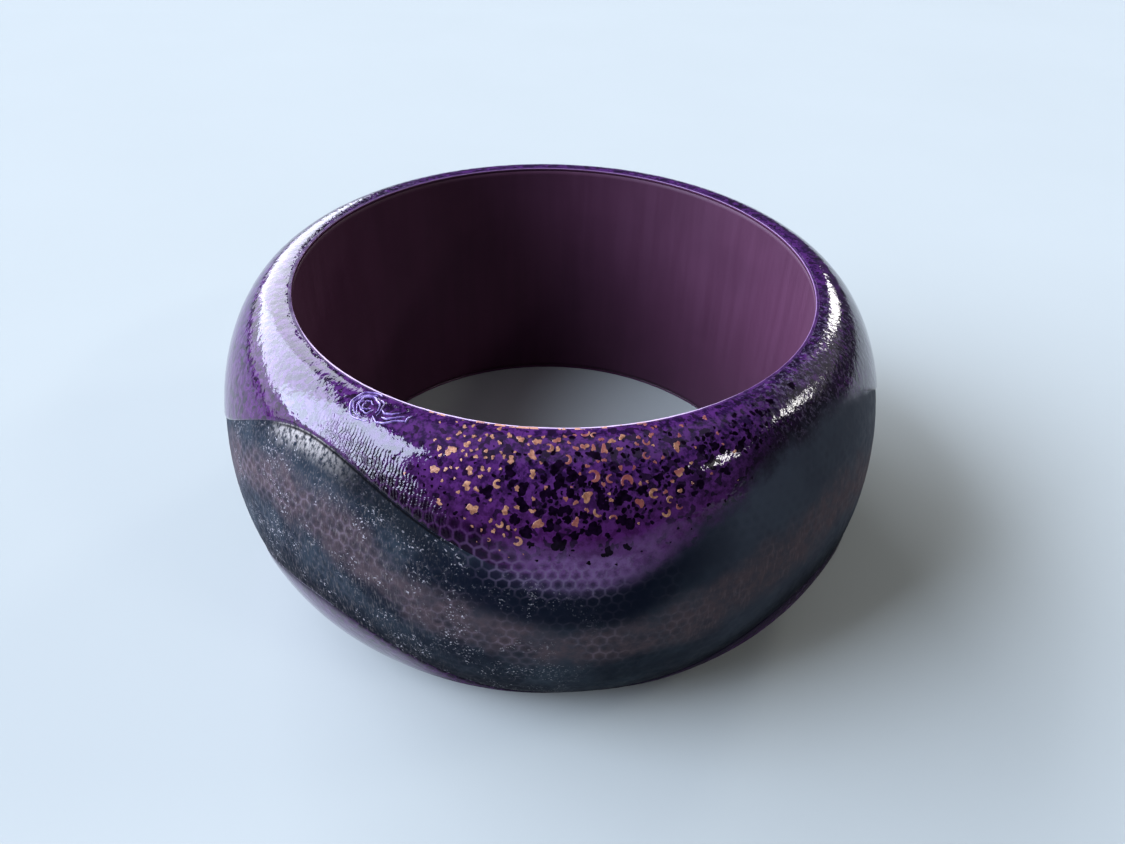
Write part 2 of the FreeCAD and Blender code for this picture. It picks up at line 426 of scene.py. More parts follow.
def hook_outline(radius, dice, corners):
    """A torn hook or C: an arc with a wandering width."""
    sweep = dice.uniform(3.2, 4.9)
    first = dice.uniform(*ANY_TURN)
    width = radius * dice.uniform(0.24, 0.36)
    phase = dice.uniform(*ANY_TURN)
    share = np.linspace(0, 1, corners // 2)
    taper = np.sin(np.pi * (0.08 + 0.84 * share)) ** 0.5
    turn = first + sweep * share
    sides = []
    for side in (1, -1):
        edge = side * width * taper * (1 + 0.3 * np.sin(7 * share + phase * side))
        reach = radius * 0.78 + edge
        sides.append(np.stack([reach * np.cos(turn), reach * np.sin(turn)], -1)[::side])
    return np.concatenate(sides)


def chip_rings(outline, hook):
    """The outline and smaller copies of it, for a flat chip with a narrow rounded edge."""
    if hook:
        middle = (outline + outline[::-1]) / 2
        return [outline, middle + (outline - middle) * 0.85]
    return [outline, outline * 0.95, outline * 0.5]


def add_chip(mesh_data, azimuth, down, outline, hook, lift, tilt, dice):
    """Adds one closed chip lying on the dome, turned at random unless it is a hook."""
    vertices, faces = mesh_data
    rings = chip_rings(outline, hook)
    count = len(outline)
    base = len(vertices)
    spin = dice.uniform(*ANY_TURN) if not hook else 0.0
    turn = np.array([[math.cos(spin), -math.sin(spin)], [math.sin(spin), math.cos(spin)]])
    radius = np.interp(down, PROFILE[0], PROFILE[1])

    def place(flat, height):
        flat = flat @ turn.T
        az = azimuth + np.degrees(flat[:, 0] / radius)
        at = np.maximum(down + flat[:, 1], LAND_START + 0.05)
        return on_dome(az, at, height + upper_lift(az, at))

    levels = [(rings[0], -CHIP_DEPTH), (rings[0], lift * 0.3)]
    for ring in rings[1:]:
        crumple = np.array([dice.uniform(-tilt, tilt) for _ in range(count)])
        levels.append((ring, lift + crumple))
    for flat, height in levels:
        vertices.extend(place(flat, height).tolist())
    for level in range(len(levels) - 1):
        for index in range(count):
            after = (index + 1) % count
            a, b = base + level * count + index, base + level * count + after
            faces.append((a, a + count, b + count, b))
    top = base + (len(levels) - 1) * count
    if hook:
        for index in range(count // 2 - 1):
            mirror = count - 1 - index
            faces.append((top + index, top + mirror, top + mirror - 1, top + index + 1))
            faces.append((base + index, base + index + 1, base + mirror - 1, base + mirror))
    else:
        middle = np.zeros((1, 2))
        crown, floor = len(vertices), len(vertices) + 1
        vertices.extend(place(middle, lift).tolist() + place(middle, -CHIP_DEPTH).tolist())
        for index in range(count):
            after = (index + 1) % count
            faces.append((top + index, crown, top + after))
            faces.append((base + index, base + after, floor))


MM_PER_DEGREE = 0.72  # distance round the dome near its front


def scatter(patches, taken, spacing, dice):
    """Places for small chips between those already there, at least spacing radii apart."""
    places = []
    for (azimuth, down), (wide, deep), tries, (smallest, largest) in patches:
        for _ in range(tries):
            az = azimuth + wide * dice.gauss(0, 0.5)
            at = down + deep * dice.gauss(0, 0.5)
            radius = dice.uniform(smallest, largest)
            inside = LAND_START + 0.15 < at < float(paint_edge(az)) - 1.0 - radius
            clear = all(math.hypot((az - a) * MM_PER_DEGREE, at - d) > spacing * (radius + r)
                        for a, d, r in taken)
            if inside and clear:
                taken.append((az, at, radius))
                places.append((az, at, radius))
    return places


# patches of small chips: middle, half size, number of tries, range of radii
COPPER_SMALL = (((-12, 3.5), (7, 3.0), 90, (0.2, 0.42)), ((-7, 10.0), (5, 4.0), 60, (0.22, 0.45)),
                ((3, 1.2), (20, 1.2), 130, (0.2, 0.7)), ((14, 5.5), (14, 4.0), 70, (0.18, 0.4)))
BLACK_SMALL = (((5, 6.8), (11, 3.2), 150, (0.5, 0.8)), ((7, 6.5), (14, 4.5), 420, (0.14, 0.45)),
               ((-16, 6.5), (8, 4.0), 50, (0.12, 0.3)), ((30, 4.0), (12, 3.0), 90, (0.2, 0.55)))

# hooks: share of the larger chips torn to hooks; lobes: blobs added to a larger chip;
# share: outline radius as a share of the chip's; tilt: unevenness of the top, in millimetres
COPPER_STYLE = {"spacing": 0.95, "hooks": 0.5, "lobes": 0, "share": 0.6,
                "lift": 0.02, "tilt": 0.006, "ragged": 1.0}
BLACK_STYLE = {"spacing": 0.62, "hooks": 0.0, "lobes": 3, "share": 0.66,
               "lift": 0.008, "tilt": 0.001, "ragged": 0.45}


def make_leaf(name, node, small, taken, style, seed):
    """All the chips of one leaf: those of the CAD node and small ones scattered between them."""
    dice = random.Random(seed)
    chips = islands(node)
    chips += scatter(small, taken + chips, style["spacing"], dice)
    taken.extend(chips)
    data = ([], [])
    for azimuth, down, size in chips:
        hook = size > 0.45 and dice.random() < style["hooks"]
        corners = 20 if size > 0.4 else 12
        into_haze = float(smooth(-4.5, -1.5, down - paint_edge(azimuth)))
        reach = size * style["share"] * (1.25 if hook else 1) * (1 - 0.78 * into_haze)
        if hook:
            outline = hook_outline(reach, dice, corners)
        else:
            outline = blob_outline(reach, dice, corners, style["ragged"])
        add_chip(data, azimuth, down, outline, hook, style["lift"], style["tilt"], dice)
        for _ in range(style["lobes"] if size > 0.5 and not hook else 0):
            turn = dice.uniform(*ANY_TURN)
            aside = reach * dice.uniform(0.8, 1.3)
            beside = azimuth + aside * math.cos(turn) * 1.45
            below = down + aside * math.sin(turn)
            outline = blob_outline(reach * dice.uniform(0.4, 0.7), dice, 14, style["ragged"])
            add_chip(data, beside, below, outline, False, style["lift"], style["tilt"], dice)
    return new_object(name, *data, flat=True)


# ---- the swirl
SWIRL_RIGHT = 2.2  # the swirl lies this many degrees right of the CAD's
SWIRL_UP = 1.8  # and this much nearer the rim
# radius, first turn, sweep, growth of the radius, half width and seed of each ring
SWIRL_RINGS = ((1.95, 1.0, 3.9, 0.05, 0.15, 1), (1.58, 1.5, 3.2, 0.0, 0.1, 2),
               (1.22, 2.0, 4.6, 0.05, 0.13, 3), (0.88, 0.2, 3.4, 0.05, 0.11, 6),
               (0.5, 0.4, 5.2, 0.1, 0.12, 4), (1.48, 5.2, 1.5, 0.35, 0.1, 5))
# corners of each tail, across and down from 0.6 mm above the centre
SWIRL_TAILS = (((1.2, 1.4), (2.0, 1.9), (2.9, 1.7), (3.9, 1.0), (4.9, 0.7)),
               ((1.5, 0.3), (2.2, 0.7), (3.0, 0.5), (3.7, 0.0)),
               ((2.2, 1.2), (2.8, 1.2), (3.5, 0.8), (4.4, 0.2)),
               ((4.9, 0.9), (4.8, 0.4), (5.0, -0.1)))
# a ridge's section: across in half widths, up in shares of its rise
RIDGE_SECTION = ((-1.0, -0.05), (-0.8, 0.35), (-0.35, 0.9), (0.0, 1.0), (0.35, 0.9), (0.8, 0.35),
                 (1.0, -0.05))


def swirl_path(middle, radius, start, sweep, grow, seed):
    """A wandering arc, in millimetres across and down, round a centre this far down."""
    phase = random.Random(seed).uniform(*ANY_TURN)
    share = np.linspace(0, 1, 61)
    turn = start + sweep * share
    wander = 0.09 * np.sin(3 * turn + phase) + 0.05 * np.sin(7 * turn)
    reach = radius + grow * share + wander
    return np.stack([reach * np.cos(turn), middle + 0.92 * reach * np.sin(turn)], -1)


def add_ridge(mesh_data, azimuth, path, half_width, rise):
    """A rounded ridge along a path given in millimetres round and down the dome."""
    vertices, faces = mesh_data
    base = len(vertices)
    along = np.gradient(path, axis=0)
    side = np.stack([-along[:, 1], along[:, 0]]) / np.linalg.norm(along, axis=1)
    size = np.sin(np.pi * np.linspace(0.04, 0.96, len(path)))[:, None] ** 0.4
    across, up = np.array(RIDGE_SECTION).T
    right = path[:, :1] + side[0][:, None] * across * half_width * size
    down = path[:, 1:] + side[1][:, None] * across * half_width * size
    az = azimuth + np.degrees(right / np.interp(down, PROFILE[0], PROFILE[1]))
    lift = LACQUER_LIFT + np.where(up > 0, rise * size * up, -0.04)
    points = on_dome(az, np.maximum(down, LAND_START + 0.02), lift)
    vertices.extend(points.reshape(-1, 3).tolist())
    count = len(RIDGE_SECTION)
    for step in range(len(path) - 1):
        for index in range(count):
            after = (index + 1) % count
            a, b = base + step * count + index, base + step * count + after
            faces.append((a, b, b + count, a + count))
    last = base + (len(path) - 1) * count
    faces.append(tuple(base + index for index in range(count))[::-1])
    faces.append(tuple(last + index for index in range(count)))


def make_swirl():
    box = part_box("swirl_relief")
    x, y, z = ((low + high) / 2 / MM for low, high in zip(*box))
    azimuth = math.degrees(math.atan2(x, -y)) + SWIRL_RIGHT
    data = ([], [])
    middle = float(down_at(z)) - SWIRL_UP
    for radius, start, sweep, grow, width, seed in SWIRL_RINGS:
        add_ridge(data, azimuth, swirl_path(middle, radius, start, sweep, grow, seed), width, 0.19)
    for tail in SWIRL_TAILS:
        across, down = zip(*tail)
        along = np.linspace(0, len(tail) - 1, 24)
        path = np.stack([np.interp(along, range(len(tail)), across),
                         np.interp(along, range(len(tail)), down) + middle - 0.6], -1)
        add_ridge(data, azimuth, path, 0.13, 0.15)
    return new_object("swirl_ridges", *data)


# ---- material building blocks
def srgb(red, green, blue):
    """A screen colour, 0 to 255, as the linear colour that a shader takes."""
    linear = []
    for channel in (red, green, blue):
        share = channel / 255
        linear.append(share / 12.92 if share <= 0.04045 else ((share + 0.055) / 1.055) ** 2.4)
    return (*linear, 1.0)


class Nodes:
    """Small helpers that add nodes to one material and return the socket they end in."""

    def __init__(self, name):
        self.material = bpy.data.materials.new(name)
        self.material.use_nodes = True
        self.tree = self.material.node_tree
        self.shader = self.tree.nodes["Principled BSDF"]
        self.place = self.add("ShaderNodeTexCoord").outputs["Object"]

    def add(self, kind, **settings):
        node = self.tree.nodes.new(kind)
        for key, value in settings.items():
            setattr(node, key, value)
        return node

    def wire(self, socket, value):
        if isinstance(value, bpy.types.NodeSocket):
            self.tree.links.new(value, socket)
        else:
            socket.default_value = value

    def math(self, operation, *values):
        node = self.add("ShaderNodeMath", operation=operation)
        for index, value in enumerate(values):
            self.wire(node.inputs[index], value)
        return node.outputs[0]

    def attribute(self, name):
        return self.add("ShaderNodeAttribute", attribute_name=name).outputs["Fac"]

    def noise(self, size, detail=3.0, rough=0.55, upright=1, seed=0):
        """Noise from 0 to 1 with features of about this size in mm, and upright times as tall."""
        mapping = self.add("ShaderNodeMapping")
        self.wire(mapping.inputs["Vector"], self.place)
        mapping.inputs["Scale"].default_value = [1 / (size * MM * s) for s in (1, 1, upright)]
        mapping.inputs["Location"].default_value = (seed, seed * 0.7, -seed)
        node = self.add("ShaderNodeTexNoise")
        self.wire(node.inputs["Vector"], mapping.outputs[0])
        node.inputs["Scale"].default_value = 1.0
        node.inputs["Detail"].default_value = detail
        node.inputs["Roughness"].default_value = rough
        return node.outputs["Fac"]

    def ramp(self, value, low, high, start=0.0, end=1.0):
        """A smooth step from start to end as value goes from low to high."""
        node = self.add("ShaderNodeMapRange", interpolation_type="SMOOTHSTEP")
        for key, number in (("Value", value), ("From Min", low), ("From Max", high),
                            ("To Min", start), ("To Max", end)):
            self.wire(node.inputs[key], number)
        return node.outputs["Result"]

    def window(self, value, low, high, soft):
        """1 between low and high, with soft ends."""
        rise = self.ramp(value, low - soft, low + soft)
        fall = self.ramp(value, high - soft, high + soft, 1.0, 0.0)
        return self.both(rise, fall)

    def mix(self, share, first, second):
        node = self.add("ShaderNodeMix", data_type="RGBA")
        for index, value in ((0, share), (6, first), (7, second)):
            self.wire(node.inputs[index], value)
        return node.outputs[2]

    def swing(self, noise, size):
        """Noise as a swing of this size round 0."""
        return self.both(self.math("SUBTRACT", noise, 0.5), size)

    def both(self, *values):
        """All the values multiplied together."""
        total = values[0]
        for value in values[1:]:
            total = self.math("MULTIPLY", total, value)
        return total

    def axes(self):
        split = self.add("ShaderNodeSeparateXYZ")
        self.wire(split.inputs[0], self.place)
        return tuple(split.outputs)

    def azimuth(self):
        """Azimuth in degrees, from -180 to 180, with its jump at the back."""
        x, y, _ = self.axes()
        turn = self.math("ARCTAN2", x, self.both(y, -1.0))
        return self.both(turn, 180 / math.pi)

    def net_sway(self, azimuth, down, waves):
        """How far these waves pull the net, as in net_sway for the relief."""
        pulls = []
        for around, per_mm, phase, size in waves:
            turn = self.both(azimuth, around * math.pi / 180)
            turn = self.math("MULTIPLY_ADD", down, per_mm, turn)
            pulls.append(self.both(self.math("SINE", self.math("ADD", turn, phase)), size))
        return self.math("ADD", *pulls)

    def off_middle(self, value, shift, period):
        """Distance from the middle of the repeat that value - shift falls in."""
        inside = self.math("FLOORED_MODULO", self.math("SUBTRACT", value, shift), period)
        return self.math("ABSOLUTE", self.math("SUBTRACT", inside, period / 2))

    def net(self, azimuth, down):
        """Distance from the middle of a cell of the net: 0 there and 0.5 on a thread."""
        across = self.net_sway(azimuth, down, NET_ACROSS)
        along = self.net_sway(azimuth, down, NET_ALONG)
        x = self.math("MULTIPLY_ADD", azimuth, NET_CELLS_ROUND / 360, across)
        y = self.both(self.math("MULTIPLY_ADD", down, 1 / NET_ROW, along), ROOT_3 / 2)
        reach = []
        for shift in (0.0, 0.5):
            dx = self.off_middle(x, shift, 1.0)
            dy = self.off_middle(y, shift * ROOT_3, ROOT_3)
            slant = self.math("MULTIPLY_ADD", dy, ROOT_3 / 2, self.both(dx, 0.5))
            reach.append(self.math("MAXIMUM", dx, slant))
        return self.math("MINIMUM", *reach)

    def bump(self, height, strength, distance):
        node = self.add("ShaderNodeBump")
        node.inputs["Strength"].default_value = strength
        node.inputs["Distance"].default_value = distance * MM
        self.wire(node.inputs["Height"], height)
        return node.outputs["Normal"]

    def finish(self, colour, roughness, normal=None, **plain):
        self.wire(self.shader.inputs["Base Color"], colour)
        self.wire(self.shader.inputs["Roughness"], roughness)
        if normal is not None:
            self.wire(self.shader.inputs["Normal"], normal)
        for key, value in plain.items():
            self.wire(self.shader.inputs[key.replace("_", " ")], value)
        return self.material


# ---- the painted decoration
class Dome:
    """What the paints of the dome are worked out from, for one material.

    Azimuth jumps from 90 to -90, where the paints' reach, right, worn_off and scratched
    don't close: that leaves a line down each side.
    """

    def __init__(self, n):
        turn = n.azimuth()
        self.n = n
        half = n.math("FLOORED_MODULO", n.math("ADD", turn, 90.0), 180.0)
        self.azimuth = n.math("SUBTRACT", half, 90.0)
        self.down = n.attribute("down")
        rise = n.both(self.span(*PAINT_RISE_SPAN), PAINT_RISE)
        self.past_upper = n.math("ADD", n.attribute("past_upper"), rise)
        self.past_lower = n.attribute("past_lower")
        self.past_stripe = n.attribute("past_stripe")
        self.net = n.net(turn, self.down)
        self.soft = n.both(n.ramp(self.azimuth, -10, 1), n.ramp(self.azimuth, 58, 74, 1.0, 0.0))
        width = n.math("MULTIPLY_ADD", self.soft, 1.7, 0.04)
        wander = n.swing(n.noise(2.2, 4, 0.65, seed=23), self.soft)
        edge = n.math("MULTIPLY_ADD", wander, 4.0, self.past_upper)
        below_upper = n.ramp(edge, n.both(width, -1.0), width)
        above_lower = n.ramp(self.past_lower, -0.25, 0.25, 1.0, 0.0)
        self.ribbon_share = n.both(below_upper, above_lower)

    def span(self, first, last, soft):
        """1 between two azimuths, with soft ends."""
        return self.n.window(self.azimuth, first, last, soft)


def field_paint(dome):
    """Colour of the purple fields: mottled purple, dark patches, dark plum by the slopes, a dark seam
    with painted shade below the ribbon, and pale marks with painted sheen on the right shoulder.
    """
    n = dome.n
    mottle = n.noise(0.8, 5, 0.68)
    colour = n.mix(n.ramp(mottle, 0.4, 0.6), srgb(30, 10, 45), srgb(71, 32, 88))
    low = n.ramp(dome.down, 3.0, 12.0, 0.0, 0.5)
    colour = n.mix(low, colour, srgb(66, 22, 70))
    specks = n.noise(0.9, 1.6, 0.5, seed=9)
    thick = n.ramp(n.noise(9.0, 2, 0.5, seed=5), 0.4, 0.6, 0.62, 0.54)
    speck = n.ramp(n.math("SUBTRACT", specks, thick), 0.0, 0.03)
    colour = n.mix(n.both(speck, 0.85), colour, srgb(18, 5, 24))
    slopes = n.math("MAXIMUM", dome.span(-30, -6, 5), dome.span(30, 56, 6))
    near = n.both(n.ramp(dome.past_upper, -5.5, -0.5), n.ramp(dome.past_lower, -1.0, 0.0, 1.0, 0.0))
    colour = n.mix(n.both(slopes, near, 0.95), colour, srgb(13, 3, 17))
    # A dark seam and painted shade: the lower field darkens just below the ribbon, over 1.6 mm on the
    # left and up to 5 mm on the right.
    reach = n.ramp(dome.azimuth, 20, 34, 1.6, 5.0)
    rim = n.both(n.ramp(dome.past_lower, 0.0, reach, 0.9, 0.0), n.ramp(dome.past_lower, -0.2, 0.0))
    colour = n.mix(rim, colour, srgb(26, 18, 34))
    shoulder = n.both(dome.span(40, 82, 8), n.ramp(dome.down, 3.0, 8.0, 0.8, 0.4))
    blot = n.ramp(n.noise(1.6, 5, 0.75, seed=25), 0.5, 0.56, 1.0, 0.0)
    colour = n.mix(n.both(shoulder, blot), colour, srgb(9, 5, 14))
    # Pale scratch marks on the right shoulder, partly painted sheen: whitish streaks that stand for the
    # scratchy reflections there.
    scuffs_and_sheen = n.ramp(n.noise(0.45, 4, 0.75, upright=2, seed=37), 0.5, 0.62)
    return n.mix(n.both(shoulder, scuffs_and_sheen, 0.45), colour, srgb(124, 112, 136))


def ribbon_paint(dome):
    """Colour of the ribbon: navy edges, a mauve stripe, slate between, pale streaks, painted glints,
    painted sheen on both sides and painted shade under the left edge of the lacquer.
    """
    n = dome.n
    to_lower = n.both(dome.past_lower, -1.0)
    wander = n.swing(n.noise(6.0, 3, 0.6, seed=2), 7.0)
    stripe = n.math("ABSOLUTE", n.math("ADD", dome.past_stripe, wander))
    cloudy = n.ramp(n.noise(8.0, 3, 0.6, seed=7), 0.35, 0.65)
    colour = n.mix(cloudy, srgb(22, 28, 37), srgb(42, 50, 58))
    # Painted sheen: the slate turns paler on the right side, more so past 48 degrees.
    right = n.both(dome.span(24, 90, 10), n.ramp(dome.azimuth, 48, 74, 0.5, 0.9))
    colour = n.mix(right, colour, srgb(68, 72, 82))
    uneven = n.ramp(n.noise(1.8, 4, 0.7, seed=27), 0.35, 0.62, 0.38, 0.88)
    dome.mauve = n.both(n.ramp(stripe, 1.0, 5.2, 1.0, 0.0), uneven)
    colour = n.mix(dome.mauve, colour, srgb(76, 64, 67))
    deep = n.both(dome.span(-14, 22, 8), n.window(dome.past_upper, 1.0, 6.5, 1.6))
    colour = n.mix(n.both(deep, 0.9), colour, srgb(8, 13, 26))
    colour = n.mix(n.ramp(to_lower, 0.5, 6.0, 0.92, 0.0), colour, srgb(9, 12, 22))
    streaks = n.ramp(n.noise(0.3, 3, 0.6, upright=6, seed=35), 0.5, 0.72)
    streaks = n.both(streaks, dome.span(20, 66, 8), dome.mauve, 0.6)
    colour = n.mix(streaks, colour, srgb(96, 84, 88))
    # Pale brush streaks on the left side, partly painted sheen on the side that faces the window lamps.
    left = dome.span(-66, -16, 9)
    brushed_sheen = n.ramp(n.noise(0.22, 3, 0.65, upright=5, seed=29), 0.5, 0.72)
    colour = n.mix(n.both(brushed_sheen, left, 0.5), colour, srgb(112, 106, 104))
    # Painted glints: clusters of pale specks on the left side.
    clump = n.ramp(n.noise(3.5, 3, 0.6, seed=13), 0.46, 0.64)
    glint = n.ramp(n.noise(0.28, 2, 0.6, seed=14), 0.6, 0.67)
    specks = n.both(clump, glint, dome.span(-64, 2, 8))
    colour = n.mix(specks, colour, srgb(172, 168, 172))
    # Painted sheen: pale streaks next to the upper edge on the left side, fading down the ribbon.
    edge_sheen = n.both(dome.span(-46, -30, 3), n.ramp(dome.past_upper, 0.6, 3.2, 1.0, 0.0))
    sheen_streak = n.ramp(n.noise(0.4, 4, 0.7, upright=3, seed=17), 0.38, 0.6)
    colour = n.mix(n.both(edge_sheen, sheen_streak, 0.85), colour, srgb(176, 170, 164))
    shade = n.both(dome.span(-34, -16, 4), n.ramp(dome.past_upper, 1.5, 4.5, 0.7, 0.0))
    return n.mix(shade, colour, srgb(14, 16, 20))


def net_paint(dome, colour):
    """The net: dark cells on the left slope, pale threads in the trough, faint on the ribbon."""
    n = dome.n
    cell = n.ramp(dome.net, 0.08, 0.4, 1.0, 0.0)
    thread = n.ramp(dome.net, 0.35, 0.48)
    field_share = n.math("SUBTRACT", 1.0, dome.ribbon_share)
    slope = dome.span(-30, -3, 5)
    slope = n.both(slope, n.ramp(dome.past_upper, -6.0, -1.5), field_share)
    colour = n.mix(n.both(slope, cell, 0.75), colour, srgb(10, 3, 12))
    colour = n.mix(n.both(slope, thread, 0.38), colour, srgb(76, 42, 84))
    blurred = n.ramp(n.noise(1.6, 3, 0.6, seed=31), 0.32, 0.58, 0.25, 1.0)
    open_net = dome.span(-9, 10, 5)
    open_net = n.both(open_net, n.window(dome.past_upper, -1.8, 2.0, 1.4), blurred)
    colour = n.mix(n.both(open_net, cell, 0.62), colour, srgb(24, 19, 38))
    colour = n.mix(n.both(open_net, thread, 0.5), colour, srgb(104, 92, 116))
    worn_off = n.ramp(dome.azimuth, 2, 24, 1.0, 0.3)
    patchy = n.both(n.ramp(n.noise(4.0, 4, 0.65, seed=11), 0.38, 0.62, 0.05, 1.0), worn_off)
    faint = n.math("MULTIPLY_ADD", dome.mauve, 0.34, 0.06)
    colour = n.mix(n.both(dome.ribbon_share, cell, patchy, 0.35), colour, srgb(8, 10, 18))
    return n.mix(n.both(dome.ribbon_share, thread, patchy, faint), colour, srgb(112, 100, 112))


def dome_paint(dome):
    """Field and ribbon run together, with the haze of the trough and the net over both, and a painted
    shadow along the lacquer's step on the left.
    """
    n = dome.n
    colour = n.mix(dome.ribbon_share, field_paint(dome), ribbon_paint(dome))
    build = n.both(n.ramp(dome.past_upper, -4.5, -1.5), n.ramp(dome.past_upper, -1.0, 2.5, 1.0, 0.0))
    cloud = n.ramp(n.noise(1.5, 5, 0.7, seed=21), 0.34, 0.6, 0.35, 1.0)
    colour = n.mix(n.both(dome.span(-2, 16, 8), build, cloud, 0.9), colour, srgb(108, 80, 122))
    colour = net_paint(dome, colour)
    # Painted shadow: a dark line along the step where the upper lacquer ends, on the left.
    crisp = n.both(dome.span(-47, -12, 4), n.window(dome.past_upper, 0.1, 0.4, 0.15))
    return n.mix(n.both(crisp, 0.95), colour, srgb(6, 6, 9))


def painted_dome(name, specular):
    """The dome's paint and finish: gloss lacquer on the fields, satin on the ribbon."""
    n = Nodes(name)
    dome = Dome(n)
    colour = dome_paint(dome)
    satin = dome.ribbon_share
    peel = n.noise(0.8, 2, 0.5, seed=4)
    scratches = n.noise(0.62, 3, 0.6, upright=2.2, seed=33)
    scratched = n.both(scratches, dome.span(30, 86, 8), 3.0)
    grain = n.noise(0.35, 4, 0.7, seed=15)
    phase = n.both(n.noise(1.3, 3, 0.6, seed=6), 16.0)
    ripple = n.math("SINE", n.math("MULTIPLY_ADD", dome.azimuth, 10.5, phase))
    combed = dome.span(-37, -12, 4)
    combed = n.both(combed, n.window(dome.past_upper, -3.4, -0.3, 1.2), 1.35)
    pooled = n.math("MULTIPLY_ADD", ripple, combed, n.both(peel, 3.0))
    gloss_height = n.math("ADD", pooled, scratched)
    glossy = n.math("SUBTRACT", 1.0, satin)
    height = n.math("MULTIPLY_ADD", gloss_height, glossy, n.both(grain, satin, 0.9))
    normal = n.bump(height, 0.6, 0.024)
    grainy = n.ramp(n.noise(1.4, 3, 0.6, seed=16), 0.3, 0.7, 0.44, 0.6)
    rough = n.math("MULTIPLY_ADD", satin, n.math("SUBTRACT", grainy, 0.38), 0.38)
    n.wire(n.shader.inputs["Coat Normal"], normal)
    dulled = n.both(n.ramp(dome.down, 8.0, 11.5), dome.span(-18, 58, 6), 0.85)
    coat_weight = n.both(glossy, n.math("SUBTRACT", 1.0, dulled))
    return n.finish(colour, rough, normal, Coat_Weight=coat_weight, Coat_Roughness=0.07,
                    Coat_IOR=1.45, Specular_IOR_Level=specular)


def bore_paint():
    n = Nodes("plum_bore_paint")
    streak = n.noise(1.6, 4, 0.6, upright=14, seed=1)
    cloud = n.noise(9.0, 3, 0.55, seed=2)
    colour = n.mix(n.ramp(streak, 0.35, 0.65), srgb(68, 37, 57), srgb(72, 40, 61))
    colour = n.mix(n.ramp(cloud, 0.4, 0.7, 0.0, 0.3), colour, srgb(58, 30, 49))
    fine = n.noise(0.4, 4, 0.7, upright=4, seed=3)
    rough = n.ramp(streak, 0.3, 0.7, 0.52, 0.62)
    return n.finish(colour, rough, n.bump(fine, 0.2, 0.02), Specular_IOR_Level=0.2)


def edge_line():
    """Plum inside and purple on top, with a thin pale line where the two meet, which a painted
    highlight makes brighter and wider in front.
    """
    n = Nodes("edge_line")
    x, y, z = n.axes()
    radius = n.math("DIVIDE", n.math("SQRT", n.math("ADD", n.both(x, x), n.both(y, y))), MM)
    height = n.math("DIVIDE", z, MM)
    to_top = n.math("ABSOLUTE", n.math("SUBTRACT", height, HEIGHT))
    to_face = n.math("MINIMUM", n.math("ABSOLUTE", height), to_top)
    wander = n.swing(n.noise(1.5, 3, 0.6), 0.12)
    colour = n.mix(n.ramp(n.noise(1.1, 4, 0.62), 0.36, 0.62), srgb(34, 12, 48), srgb(66, 32, 82))
    inside = n.ramp(radius, BORE_RADIUS + 0.03, BORE_RADIUS + 0.1, 1.0, 0.0)
    colour = n.mix(inside, colour, srgb(74, 41, 64))
    # Painted highlight: the pale line is brighter and wider in front.
    lit = n.window(n.azimuth(), -60, 30, 12)
    reach = n.math("SUBTRACT", n.math("ADD", radius, wander), n.both(lit, 0.12))
    corner = n.both(n.ramp(reach, BORE_RADIUS + 0.06, BORE_RADIUS + 0.12, 1.0, 0.0),
                    n.ramp(to_face, 0.04, 0.1, 1.0, 0.0))
    colour = n.mix(corner, colour, n.mix(lit, srgb(120, 91, 128), srgb(206, 182, 208)))
    leaf = n.ramp(n.noise(0.8, 2, 0.5, seed=41), 0.54, 0.57)
    leaf = n.both(leaf, n.window(n.azimuth(), -24, 16, 6))
    on_top = n.ramp(radius, BORE_RADIUS + 0.08, BORE_RADIUS + 0.12)
    colour = n.mix(n.both(leaf, on_top), colour, srgb(186, 134, 108))
    rough = n.ramp(n.noise(0.6, 2), 0.3, 0.7, 0.4, 0.5)
    return n.finish(colour, rough, n.bump(n.noise(0.5, 2), 0.2, 0.03), Coat_Weight=0.2,
                    Coat_Roughness=0.2, Specular_IOR_Level=0.1)


def copper_leaf():
    n = Nodes("copper_leaf")
    azimuth = n.azimuth()
    tone = n.noise(0.45, 4, 0.7, seed=1)
    colour = n.mix(n.ramp(tone, 0.3, 0.7), srgb(112, 66, 48), srgb(186, 134, 98))
    each = n.noise(2.2, 1, 0.5, seed=2)
    red = n.both(n.ramp(azimuth, -8, 8), n.ramp(each, 0.36, 0.5))
    colour = n.mix(n.both(red, 0.8), colour, srgb(126, 54, 58))
    rough = n.ramp(tone, 0.3, 0.7, 0.34, 0.5)
    return n.finish(colour, rough, n.bump(n.noise(0.3, 3, 0.6), 0.3, 0.02), Metallic=0.25,
                    Coat_Weight=0.4, Coat_Roughness=0.08)


def black_leaf():
    n = Nodes("black_leaf")
    tone = n.noise(0.6, 3, 0.6, seed=1)
    colour = n.mix(n.ramp(tone, 0.35, 0.7), srgb(6, 1, 8), srgb(18, 5, 24))
    return n.finish(colour, 0.5, n.bump(n.noise(0.5, 2), 0.2, 0.02), Coat_Weight=0.08,
                    Coat_Roughness=0.12, Specular_IOR_Level=0.0)


def swirl_lacquer_highlight():
    n = Nodes("swirl_lacquer_highlight")
    # Painted highlight: the lacquer is mottled with a pale lavender that stands for the ridges catching
    # the light.
    cloud = n.ramp(n.noise(0.8, 3, 0.6), 0.35, 0.65)
    colour = n.mix(cloud, srgb(96, 66, 138), srgb(168, 146, 204))
    return n.finish(colour, 0.35, n.bump(n.noise(0.4, 2), 0.15, 0.03), Coat_Weight=1.0,
                    Coat_Roughness=0.05)


